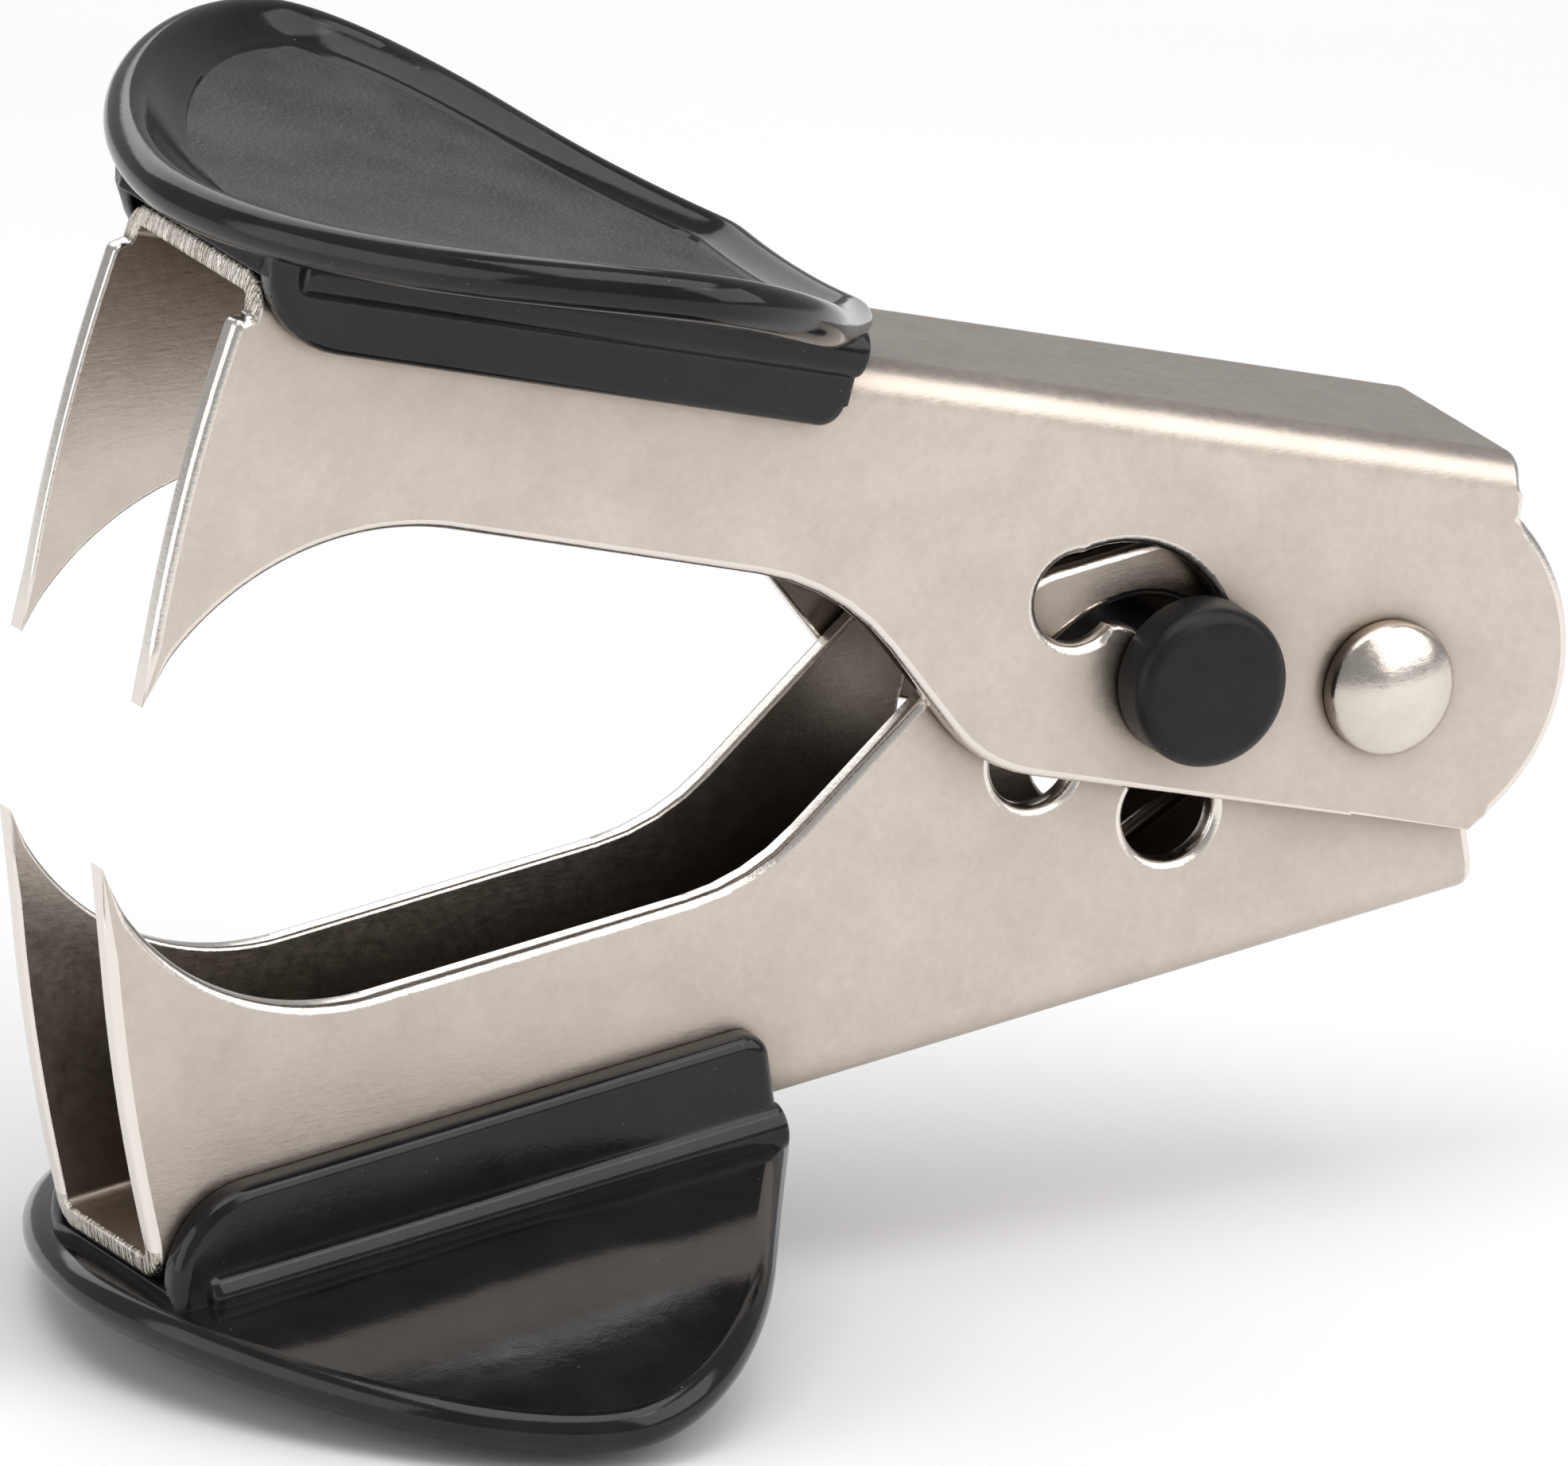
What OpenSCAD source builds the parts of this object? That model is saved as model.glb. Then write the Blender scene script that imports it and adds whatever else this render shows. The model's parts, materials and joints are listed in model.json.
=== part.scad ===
// Claw staple remover: two nested pressed-steel jaws that hinge on a rivet,
// pushed open by a torsion spring, with plastic thumb grips and a sliding lock button.
// Millimetres. +X points to the pivot end, -X to the teeth, +Z up, the lock head is on -Y.
// The origin is on the floor under the middle of the part's bounding box.
// Each jaw is drawn in its own frame, pivot at [0, 0, 0] and spine level, then turned to rest.

/* [Jaws] */
// Distance from the pivot to the tooth tips
reach = 52.2; // [50:0.1:56]
// Outside width of the outer (upper) jaw
upper_w = 11.5; // [11.3:0.1:13]
// Outside width of the inner (lower) jaw
lower_w = 9; // [8:0.1:9.2]
// Steel sheet thickness
sheet = 1; // [0.8:0.05:1.1]
// Height of the upper spine above the pivot
upper_spine_h = 9.35; // [9:0.05:10]
// Depth of the lower spine below the pivot
lower_spine_h = 9.7; // [9.3:0.05:10.5]
// Length of the spines behind the pivot
spine_tail = 3.7; // [3:0.1:3.8]

/* [Opening] */
// Angle of the upper spine when open
upper_open = 15.4; // [12:0.1:16]
// Angle of the lower spine when open
lower_open = 8.2; // [6:0.1:9]

/* [Lock] */
// Lock button head diameter
head_d = 6.3; // [6.1:0.1:7.4]
// Lock button head thickness
head_h = 2.2; // [1.4:0.05:2.6]
// Lock shaft diameter
lock_d = 3; // [2.6:0.1:3.1]

/* [Rivet and spring] */
// Rivet shank diameter
shank_d = 3; // [2.6:0.1:3.2]
// Rivet head diameter
dome_d = 5.2; // [4.6:0.1:5.6]
// Height of the rivet head's dome above its rim
dome_h = 0.9; // [0.6:0.1:1.4]
// Spring wire diameter
wire_d = 0.9; // [0.7:0.05:0.9]

/* [Grips] */
// Length of the grip's side skirts
skirt_l = 25.4; // [24:0.1:26]
// Thickness of a skirt
skirt_t = 1.2; // [1:0.1:1.4]
// Width of the thumb pad across the tool
pad_w = 41; // [38:0.1:44]
// Length of the thumb pad in front of its widest point
pad_front = 13.9; // [13.6:0.1:15]
// Length of the thumb pad behind its widest point
pad_rear = 12.8; // [11.6:0.1:13.2]
// Thickness of the thumb pad
pad_t = 1.8; // [1.6:0.1:2.2]
// Radius of the thumb pad's hollow
dish_r = 62; // [55:0.5:80]

/* [Hidden] */

// where the pivot sits in the part's frame, with the jaws open
pivot_x = 22.53;
pivot_z = 21.15;

eps = 0.01;
bend_r = 1.4;
running_gap = 0.05;
slot_gap = 0.1;
arc_steps = 8;
closing = upper_open + lower_open;

steel_color = [0.72, 0.69, 0.66];
wire_color = [0.6, 0.6, 0.62];
plastic_color = [0.06, 0.06, 0.065];

// upper jaw outline
tooth_drop = 8.2;
throat_r = 11.6;
upper_edge_h = 0.7;
upper_throat_x = -40.4;
upper_step_x = -23.8;
upper_belly_x = -15.9;
upper_belly_z = -5.5;
upper_heel_x = 5.1;
upper_heel_z = -5.05;
upper_lobe_r = 7.6;
upper_lobe_z = 0.6;

// lower jaw outline
lower_throat_r = 10.6;
lower_throat_x = -42;
lower_edge_h = -0.8;
lower_step_x = -26.2;
lower_tail = 3.2;
lower_hump_x = -13;
lower_hump_z = 7.8;
lower_lobe_r = 6.9;
tooth_rise = 7.4;

// lock slot: the shaft's path in the upper jaw is an arc
lock_arc_x = -11.49;
lock_arc_z = -0.79;
lock_arc_r = 3.19;
lock_from = 2.4;
lock_travel = 130.7;
lock_to = lock_from + lock_travel;
slot_r = lock_d / 2 + slot_gap;
lobe_r = 1.8;
free_lobe = [-8.95, -3];
free_lobe_r = 1.87;
locked_lobe = [-14.1, 0.6];

// pivot
dome_rim = 0.7;
boss_r = 3.6;
boss_h = (upper_w - 2 * sheet - lower_w) / 2 - running_gap;
lower_hole_r = shank_d / 2 + running_gap;

// lock button
head_gap = 0.1;
head_edge = 0.7;
spigot_d = 2;
spigot_l = 1;

// spring
coil_r = 2.6;
coil_turns = 4;
coil_pitch = wire_d + 0.12;
leg_x = -13;
leg_gap = 0.03;
wire_sides = 10;
coil_steps = 20;

// grips
skirt_x = -51.8;
upper_skirt_drop = 2.5;
lower_skirt_drop = 3.4;
skirt_front_r = 3.8;
skirt_rear_r = 1;
cap_t = 1.9;
pad_x = -39.6;
pad_rise = 1.3;
bead_r = 1.05;
bead_out = 0.5;
bead_lift = 0.6;
upper_grip_shift = 0.4;
lower_grip_shift = -0.5;
panel_along = 0.79;
panel_across = 0.88;
panel_depth = 0.15;
oval_steps = 90;
oval_point = 1.15;

// free part of each spine, raised a little over the part the grip covers
flat_x = -24.8;
seat_step = 0.1;

// ---------- outline helpers ----------

function unit(v) = v / norm(v);
function turn_xz(p, a) = [p[0] * cos(a) + p[1] * sin(a), p[1] * cos(a) - p[0] * sin(a)];

// points of one rounded corner at b, between the sides towards a and c
function corner(a, b, c, r) =
  let (u = unit(a - b), w = unit(c - b))
  let (half = acos(u * w) / 2)
  let (reach_in = r / tan(half), middle = b + unit(u + w) * r / sin(half))
  let (p = b + u * reach_in - middle, q = b + w * reach_in - middle)
  let (from = atan2(p[1], p[0]), swing = atan2(q[1], q[0]) - from)
  let (sweep = swing > 180 ? swing - 360 : swing < -180 ? swing + 360 : swing)
  [for (i = [0:arc_steps]) middle + r * [cos(from + sweep * i / arc_steps),
                                         sin(from + sweep * i / arc_steps)]];

// outline from corners [x, z, radius]
function rounded(path) =
  let (n = len(path))
  [for (i = [0:n - 1])
    let (a = path[(i + n - 1) % n], b = path[i], c = path[(i + 1) % n])
    each b[2] > 0
      ? corner([a[0], a[1]], [b[0], b[1]], [c[0], c[1]], b[2])
      : [[b[0], b[1]]]];

// outline of a slot of half-width r along a path of points
function side_of(path, i, r) =
  let (a = path[max(i - 1, 0)], b = path[min(i + 1, len(path) - 1)])
  let (d = unit(b - a))
  path[i] + r * [-d[1], d[0]];
function slot_outline(path, r) = concat(
  [for (i = [0:len(path) - 1]) side_of(path, i, r)],
  [for (i = [len(path) - 1:-1:0]) side_of(path, i, -r)]);

// a flat outline in X and Z, made into a plate centred on Y
module plate(width) {
  rotate([90, 0, 0])
    linear_extrude(height = width, center = true)
      children();
}

module in_upper() {
  translate([pivot_x, 0, pivot_z])
    rotate([0, upper_open, 0])
      children();
}

module in_lower() {
  translate([pivot_x, 0, pivot_z])
    rotate([0, -lower_open, 0])
      children();
}

// ---------- lock path ----------

function lock_at(t) = [lock_arc_x + lock_arc_r * cos(lock_from + lock_travel * t),
                       lock_arc_z + lock_arc_r * sin(lock_from + lock_travel * t)];

// the same path seen from the lower jaw, which has closed by t of its travel
function lock_in_lower(t) = turn_xz(lock_at(t), closing * (1 - t));

lock_home = lock_at(0);
lock_end = lock_at(1);

// ---------- jaws ----------

// channel section across the tool, open downwards, its top at z = 0
module channel_2d(width, depth) {
  difference() {
    union() {
      translate([-width / 2, -depth])
        square([width, depth - bend_r]);
      translate([-width / 2 + bend_r, -bend_r - eps])
        square([width - 2 * bend_r, bend_r + eps]);
      for (side = [-1, 1])
        translate([side * (width / 2 - bend_r), -bend_r])
          circle(r = bend_r, $fn = 48);
    }
    translate([-width / 2 + sheet, -depth - 1])
      square([width - 2 * sheet, depth + 1 - bend_r]);
    translate([-width / 2 + bend_r, -bend_r - eps])
      square([width - 2 * bend_r, bend_r - sheet + eps]);
    for (side = [-1, 1])
      translate([side * (width / 2 - bend_r), -bend_r])
        circle(r = bend_r - sheet, $fn = 48);
  }
}

module channel(width, top) {
  length = reach + 20;
  translate([-reach - 5, 0, top])
    rotate([90, 0, 90])
      linear_extrude(height = length)
        channel_2d(width, 2 * top + 5);
}

module upper_outline() {
  difference() {
    union() {
      polygon(rounded([
        [-reach + 1.2, upper_spine_h, 0],
        [-reach + 0.6, 7, 6],
        [-reach, 0.5, 16],
        [-reach + 0.7, -tooth_drop, 0],
        [upper_throat_x, -tooth_drop, 0],
        [upper_throat_x, upper_edge_h, 0],
        [upper_step_x, upper_edge_h, 10],
        [upper_belly_x, upper_belly_z, 6],
        [0, upper_heel_z - 0.13, 0],
        [0, upper_lobe_z, 0],
        [spine_tail + 0.4, 7.13, 0],
        [spine_tail, upper_spine_h, 0]]));
      intersection() {
        translate([0, upper_lobe_z])
          circle(r = upper_lobe_r, $fn = 96);
        polygon([[-eps, upper_heel_z - 0.13], [upper_heel_x, upper_heel_z], [10, upper_heel_z],
                 [10, 10], [-eps, 10]]);
      }
    }
    translate([upper_throat_x, upper_edge_h - throat_r])
      circle(r = throat_r, $fn = 128);
  }
}

module lock_arc_slot() {
  intersection() {
    difference() {
      circle(r = lock_arc_r + slot_r, $fn = 96);
      circle(r = lock_arc_r - slot_r, $fn = 64);
    }
    polygon([[0, 0],
             for (i = [0:4]) 20 * [cos(lock_from + lock_travel * i / 4),
                                   sin(lock_from + lock_travel * i / 4)]]);
  }
  translate(lock_arc_r * [cos(lock_from), sin(lock_from)])
    circle(r = slot_r, $fn = 48);
  translate(lock_arc_r * [cos(lock_to), sin(lock_to)])
    circle(r = lobe_r, $fn = 48);
}

module seat(width, top) {
  translate([-reach - 5, -width / 2 - 1, top - seat_step])
    cube([flat_x + reach + 5, width + 2, 2]);
}

module upper_jaw() {
  color(steel_color)
    in_upper()
      difference() {
        intersection() {
          channel(upper_w, upper_spine_h);
          plate(upper_w + 2)
            upper_outline();
        }
        seat(upper_w, upper_spine_h);
        plate(upper_w + 2)
          translate([lock_arc_x, lock_arc_z])
            lock_arc_slot();
        rotate([90, 0, 0])
          cylinder(r = shank_d / 2, h = upper_w + 2, center = true, $fn = 48);
      }
}

module lower_outline() {
  difference() {
    union() {
      polygon(rounded([
        [-reach - 0.1, tooth_rise, 0],
        [-reach - 0.7, -2, 50],
        [-reach - 0.1, -lower_spine_h, 0],
        [lower_tail, -lower_spine_h, 0],
        [lower_tail, 0, 0],
        [0, lower_lobe_r, 0],
        [-5, lower_hump_z, 3],
        [lower_hump_x, lower_hump_z, 3],
        [lower_step_x, lower_edge_h, 9],
        [lower_throat_x, lower_edge_h, 0],
        [lower_throat_x, tooth_rise, 0]]));
      circle(r = lower_lobe_r, $fn = 96);
    }
    translate([lower_throat_x, lower_edge_h + lower_throat_r])
      circle(r = lower_throat_r, $fn = 128);
  }
}

// the lock shaft's way through the inner jaw: an arch with a foot at each end
module lower_slot() {
  steps = 14;
  polygon(slot_outline([for (i = [0:steps]) lock_in_lower(i / steps)], slot_r));
  translate(lock_in_lower(0))
    circle(r = slot_r, $fn = 48);
  translate(lock_end)
    circle(r = lobe_r, $fn = 48);
  polygon(slot_outline([lock_end, locked_lobe], lobe_r));
  translate(locked_lobe)
    circle(r = lobe_r, $fn = 48);
  polygon(slot_outline([lock_in_lower(0), lock_home, free_lobe], slot_r));
  translate(free_lobe)
    circle(r = free_lobe_r, $fn = 48);
}

module lower_jaw() {
  color(steel_color)
    in_lower()
      difference() {
        union() {
          intersection() {
            rotate([180, 0, 0])
              channel(lower_w, lower_spine_h);
            plate(lower_w + 2)
              lower_outline();
          }
          for (side = [-1, 1])
            translate([0, side * (lower_w / 2 + boss_h / 2 - eps), 0])
              rotate([90, 0, 0])
                cylinder(r = boss_r, h = boss_h + 2 * eps, center = true, $fn = 64);
        }
        rotate([180, 0, 0])
          seat(lower_w, lower_spine_h);
        plate(lower_w + 2)
          lower_slot();
        rotate([90, 0, 0])
          cylinder(r = lower_hole_r, h = upper_w, center = true, $fn = 48);
      }
}

// ---------- grips ----------

// the pad seen from above: an oval of flat chords, slightly pointed at both ends
function soft_power(v) = sign(v) * pow(abs(v), oval_point);
module oval_2d(along, across) {
  polygon([for (i = [0:oval_steps - 1])
    let (u = soft_power(cos(360 * i / oval_steps)))
    let (v = soft_power(sin(360 * i / oval_steps)))
    [along * (u > 0 ? pad_rear : pad_front) * u, across * pad_w / 2 * v]]);
}

module oval_prism(along, across) {
  translate([pad_x, 0, 0])
    linear_extrude(height = 40)
      oval_2d(along, across);
}

// curved sheet hollowed across the tool; its lowest line is at z = height
module trough(height, inside, thick) {
  translate([pad_x, 0, height + dish_r])
    rotate([0, 90, 0])
      difference() {
        cylinder(r = inside + thick, h = 4 * pad_front, center = true, $fn = 180);
        cylinder(r = inside, h = 4 * pad_front + 2, center = true, $fn = 180);
      }
}

module thumb_pad(top) {
  difference() {
    intersection() {
      trough(top + pad_rise, dish_r - pad_t / 2, pad_t);
      oval_prism(1, 1);
    }
    intersection() {
      trough(top + pad_rise, dish_r - pad_t / 2 - 1, 1 + panel_depth);
      oval_prism(panel_along, panel_across);
    }
  }
}

module skirt_outline(top, drop) {
  bottom = top - drop;
  polygon(rounded([
    [skirt_x, top + cap_t, 0],
    [skirt_x, bottom, skirt_front_r],
    [skirt_x + skirt_l, bottom, skirt_rear_r],
    [skirt_x + skirt_l, top + cap_t, 0]]));
}

// grip over a spine whose top is at z = top
module grip(width, top, drop) {
  outer = width + 2 * skirt_t;
  difference() {
    union() {
      plate(outer)
        skirt_outline(top, drop);
      thumb_pad(top);
      for (side = [-1, 1])
        translate([skirt_x + 1.4, side * (outer / 2 - bead_r + bead_out), top + bead_lift])
          rotate([0, 90, 0])
            cylinder(r = bead_r, h = skirt_l - 1.4, $fn = 32);
    }
    intersection() {
      translate([-reach - 5, -width / 2, -5])
        cube([reach, width, top - seat_step + 5]);
      translate([-reach - 5, 0, top - seat_step - 20])
        rotate([90, 0, 90])
          linear_extrude(height = reach)
            union() {
              translate([-width / 2, 0])
                square([width, 20 - bend_r + seat_step]);
              translate([-width / 2 + bend_r, 0])
                square([width - 2 * bend_r, 20]);
              for (side = [-1, 1])
                translate([side * (width / 2 - bend_r), 20 + seat_step - bend_r])
                  circle(r = bend_r, $fn = 48);
            }
    }
  }
}

module upper_grip() {
  color(plastic_color)
    in_upper()
      translate([upper_grip_shift, 0, 0])
        grip(upper_w, upper_spine_h, upper_skirt_drop);
}

module lower_grip() {
  color(plastic_color)
    in_lower()
      rotate([180, 0, 0])
        translate([lower_grip_shift, 0, 0])
          grip(lower_w, lower_spine_h, lower_skirt_drop);
}

// ---------- pivot and lock ----------

// domed head on an upright rim, standing on z = 0
module dome(d, h) {
  ball_r = (d * d / 4 + h * h) / (2 * h);
  rotate_extrude($fn = 64) {
    square([d / 2, dome_rim + eps]);
    intersection() {
      translate([0, dome_rim + h - ball_r])
        circle(r = ball_r, $fn = 96);
      translate([0, dome_rim])
        square([d, h + 1]);
    }
  }
}

module pivot_rivet() {
  color(steel_color)
    in_upper() {
      rotate([90, 0, 0])
        cylinder(r = shank_d / 2, h = upper_w + 2 * eps, center = true, $fn = 48);
      for (side = [-1, 1])
        translate([0, side * upper_w / 2, 0])
          rotate([-side * 90, 0, 0])
            dome(dome_d, dome_h);
    }
}

// button head with a rounded front edge, its back on z = 0
module button_head() {
  rotate_extrude($fn = 64) {
    square([head_d / 2, head_h - head_edge]);
    square([head_d / 2 - head_edge, head_h]);
    translate([head_d / 2 - head_edge, head_h - head_edge])
      circle(r = head_edge, $fn = 32);
  }
}

module at_lock(side) {
  in_upper()
    translate([lock_home[0], side * (upper_w / 2 + head_gap), lock_home[1]])
      rotate([-side * 90, 0, 0])
        children();
}

module lock_pin() {
  shaft_l = upper_w + 2 * head_gap;
  color(plastic_color)
    at_lock(-1) {
      button_head();
      translate([0, 0, -shaft_l])
        cylinder(r = lock_d / 2, h = shaft_l + eps, $fn = 48);
      translate([0, 0, -shaft_l - spigot_l])
        cylinder(r = spigot_d / 2, h = spigot_l + eps, $fn = 32);
    }
}

module lock_cap() {
  color(plastic_color)
    at_lock(1)
      difference() {
        button_head();
        translate([0, 0, -eps])
          cylinder(r = spigot_d / 2, h = spigot_l + eps, $fn = 32);
      }
}

// ---------- spring ----------

// angle where a leg that ends at point p leaves the coil
function leg_angle(p, side) = atan2(p[1], p[0]) - side * acos(coil_r / norm(p));

upper_leg = turn_xz([leg_x, upper_spine_h - sheet - wire_d / 2 - leg_gap], upper_open);
lower_leg = turn_xz([leg_x, -lower_spine_h + sheet + wire_d / 2 + leg_gap], -lower_open);
coil_from = leg_angle(upper_leg, 1);
coil_sweep = coil_from - leg_angle(lower_leg, -1) + 360 * coil_turns;
coil_n = ceil(coil_sweep * coil_steps / 360);
coil_len = coil_pitch * coil_sweep / 360;

// wire stations: [x, y, z, angle of the outward direction]
stations = concat(
  [[upper_leg[0], -coil_len / 2, upper_leg[1], coil_from]],
  [for (i = [0:coil_n])
    let (a = coil_from - coil_sweep * i / coil_n)
    [coil_r * cos(a), coil_len * (i / coil_n - 0.5), coil_r * sin(a), a]],
  [[lower_leg[0], coil_len / 2, lower_leg[1], coil_from - coil_sweep]]);

module torsion_spring() {
  n = len(stations);
  points = [for (s = stations, k = [0:wire_sides - 1])
    let (t = 360 * k / wire_sides)
    [s[0] + wire_d / 2 * cos(t) * cos(s[3]),
     s[1] + wire_d / 2 * sin(t),
     s[2] + wire_d / 2 * cos(t) * sin(s[3])]];
  sides = [for (i = [0:n - 2], k = [0:wire_sides - 1])
    let (a = i * wire_sides + k, b = i * wire_sides + (k + 1) % wire_sides)
    each [[a, b, b + wire_sides], [a, b + wire_sides, a + wire_sides]]];
  start = [for (k = [wire_sides - 1:-1:0]) k];
  end = [for (k = [0:wire_sides - 1]) (n - 1) * wire_sides + k];
  color(wire_color)
    translate([pivot_x, 0, pivot_z])
      polyhedron(points, concat(sides, [start, end]), convexity = 10);
}

// ---------- parts ----------

upper_jaw();
lower_jaw();
upper_grip();
lower_grip();
pivot_rivet();
torsion_spring();
lock_pin();
lock_cap();
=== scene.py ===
"""Looks of the staple remover: pressed jaws, moulded grips, rivet, lock button and spring.

Each piece is drawn in millimetres in its own jaw's frame, with the pivot at the origin, the teeth
towards -X and the spine level and on top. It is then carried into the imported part's frame, in metres.
"""

import json
import math

import bmesh
import bpy
import numpy as np
from mathutils import Matrix, Vector
from mathutils.geometry import convex_hull_2d, delaunay_2d_cdt


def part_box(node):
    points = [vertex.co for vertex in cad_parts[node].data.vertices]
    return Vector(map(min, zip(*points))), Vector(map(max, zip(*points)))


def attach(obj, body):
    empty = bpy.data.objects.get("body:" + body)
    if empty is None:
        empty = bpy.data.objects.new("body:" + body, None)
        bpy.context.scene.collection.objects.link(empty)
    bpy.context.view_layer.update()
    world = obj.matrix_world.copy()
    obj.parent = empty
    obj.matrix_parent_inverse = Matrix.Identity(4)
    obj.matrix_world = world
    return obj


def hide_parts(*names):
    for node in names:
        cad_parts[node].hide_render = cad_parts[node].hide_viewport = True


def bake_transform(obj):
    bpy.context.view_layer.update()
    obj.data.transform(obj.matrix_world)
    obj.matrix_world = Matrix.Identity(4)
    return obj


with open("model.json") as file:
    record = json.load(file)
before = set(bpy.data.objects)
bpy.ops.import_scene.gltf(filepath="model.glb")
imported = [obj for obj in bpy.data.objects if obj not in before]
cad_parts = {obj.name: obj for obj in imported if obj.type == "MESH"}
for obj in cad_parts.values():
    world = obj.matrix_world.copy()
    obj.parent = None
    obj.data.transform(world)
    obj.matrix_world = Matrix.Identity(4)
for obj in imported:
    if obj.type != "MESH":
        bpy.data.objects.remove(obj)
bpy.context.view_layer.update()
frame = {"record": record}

MM = 0.001
JOINTS = {j["name"]: j for j in frame["record"]["behaviour"]["joints"]}
MOUNTS = {m["name"]: m for m in frame["record"]["mounts"]}
PIVOT = Vector(JOINTS["jaw_hinge"]["pos_m"])

# ---------- sizes taken from the frame ----------

UP = Vector(MOUNTS["upper_spine_flat"]["axis"])
DOWN = Vector(MOUNTS["lower_spine_flat"]["axis"])
UPPER_TURN = math.atan2(UP.x, UP.z)
LOWER_TURN = -math.atan2(DOWN.x, -DOWN.z)
UPPER_TOP = (Vector(MOUNTS["upper_spine_flat"]["pos_m"]) - PIVOT).dot(UP) / MM
LOWER_TOP = (Vector(MOUNTS["lower_spine_flat"]["pos_m"]) - PIVOT).dot(DOWN) / MM
UPPER_W = (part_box("upper_jaw")[1].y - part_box("upper_jaw")[0].y) / MM
CLOSING = math.radians(JOINTS["jaw_hinge"]["range_deg"][1])

IN_UPPER = Matrix.Translation(PIVOT) @ Matrix.Rotation(UPPER_TURN, 4, "Y") @ Matrix.Scale(MM, 4)
IN_LOWER = Matrix.Translation(PIVOT) @ Matrix.Rotation(LOWER_TURN, 4, "Y") @ Matrix.Scale(MM, 4)
IN_LOWER_FLIPPED = IN_LOWER @ Matrix.Rotation(math.pi, 4, "X")

# ---------- sizes of the pressed steel ----------

LOWER_W = 9.0
SHEET = 1.0
BEND_R = 1.4
BEND_STEPS = 8
EDGE_OUT = 0.36  # rounding of the cut edges, outside and inside the channel
EDGE_IN = 0.16
SPINE_FRONT = -51.0
SPINE_REAR = 3.7
LOWER_FRONT = -52.4
LOWER_REAR = 3.2
SHANK_R = 1.5
LOCK_R = 1.6  # half-width of the slots that the lock's shaft runs in
LOBE_R = 1.8  # the slots' wider ends
BEYOND = 60.0  # past any edge of the part

# the upper side plate, each size as it is at the pivot's level
UPPER_TIP = -51.5
TOOTH_DROP = 8.2
UPPER_THROAT_X = -40.4
UPPER_THROAT_R = 11.6
UPPER_EDGE_Z = 0.7
UPPER_STEP_X = -23.8
UPPER_BELLY = (-15.9, -5.5)
UPPER_HEEL_Z = -5.18
UPPER_LOBE_R = 7.6
UPPER_LOBE_Z = 0.6

# the lower side plate, drawn spine up
LOWER_TIP = -52.3
TOOTH_RISE = 7.4
LOWER_THROAT_X = -42.0
LOWER_THROAT_R = 10.6
LOWER_EDGE_Z = 0.8
LOWER_STEP_X = -26.2
LOWER_HUMP_X = -13.0
LOWER_HUMP_Z = -7.8
LOWER_LOBE_R = 6.9
LOWER_HOLE_GAP = 0.05
FREE_FOOT = (-8.95, 3.0)
FREE_FOOT_R = 1.87
LOCKED_FOOT = (-14.1, -0.6)

# ---------- plane geometry ----------

ARC_STEP = math.radians(9)
ARC_LENGTH = 8.0
SHORTEST = 0.02  # closer outline points are merged
SMALLEST = 0.05  # smaller loops are dropped
DEEPEST = 0.42  # share of the local width that an edge's rounding may take


def unit(v):
    v = np.asarray(v, float)
    return v / np.linalg.norm(v)


def circle(centre, radius, n=72):
    t = np.linspace(0, 2 * math.pi, n, endpoint=False)
    return np.stack([centre[0] + radius * np.cos(t), centre[1] + radius * np.sin(t)], 1)


def rounded(path):
    """A closed outline from corners (x, z, radius), finer on large radii."""
    out = []
    n = len(path)
    for i, (x, z, r) in enumerate(path):
        b = np.array([x, z], float)
        if r <= 0:
            out.append(b)
            continue
        u = unit(np.array(path[i - 1][:2]) - b)
        w = unit(np.array(path[(i + 1) % n][:2]) - b)
        half = math.acos(float(np.clip(u @ w, -1, 1))) / 2
        middle = b + unit(u + w) * r / math.sin(half)
        p = b + u * r / math.tan(half) - middle
        q = b + w * r / math.tan(half) - middle
        start = math.atan2(p[1], p[0])
        swing = (math.atan2(q[1], q[0]) - start + math.pi) % (2 * math.pi) - math.pi
        count = max(2, math.ceil(abs(swing) / ARC_STEP), int(r / ARC_LENGTH))
        for k in range(count + 1):
            a = start + swing * k / count
            out.append(middle + r * np.array([math.cos(a), math.sin(a)]))
    return np.array(out)


def bar(a, b, r):
    """A straight slot outline with half-width r from a to b."""
    a, b = np.asarray(a, float), np.asarray(b, float)
    d = unit(b - a)
    side = np.array([-d[1], d[0]]) * r
    return np.array([a + side, a - side, b - side, b + side])


def turned(x, z, angle):
    """A point swung about Y, as a jaw swings."""
    c, s = math.cos(angle), math.sin(angle)
    return np.array([x * c + z * s, z * c - x * s])


def area(loop):
    x, z = loop[:, 0], loop[:, 1]
    return 0.5 * float(np.sum(x * np.roll(z, -1) - z * np.roll(x, -1)))


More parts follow.
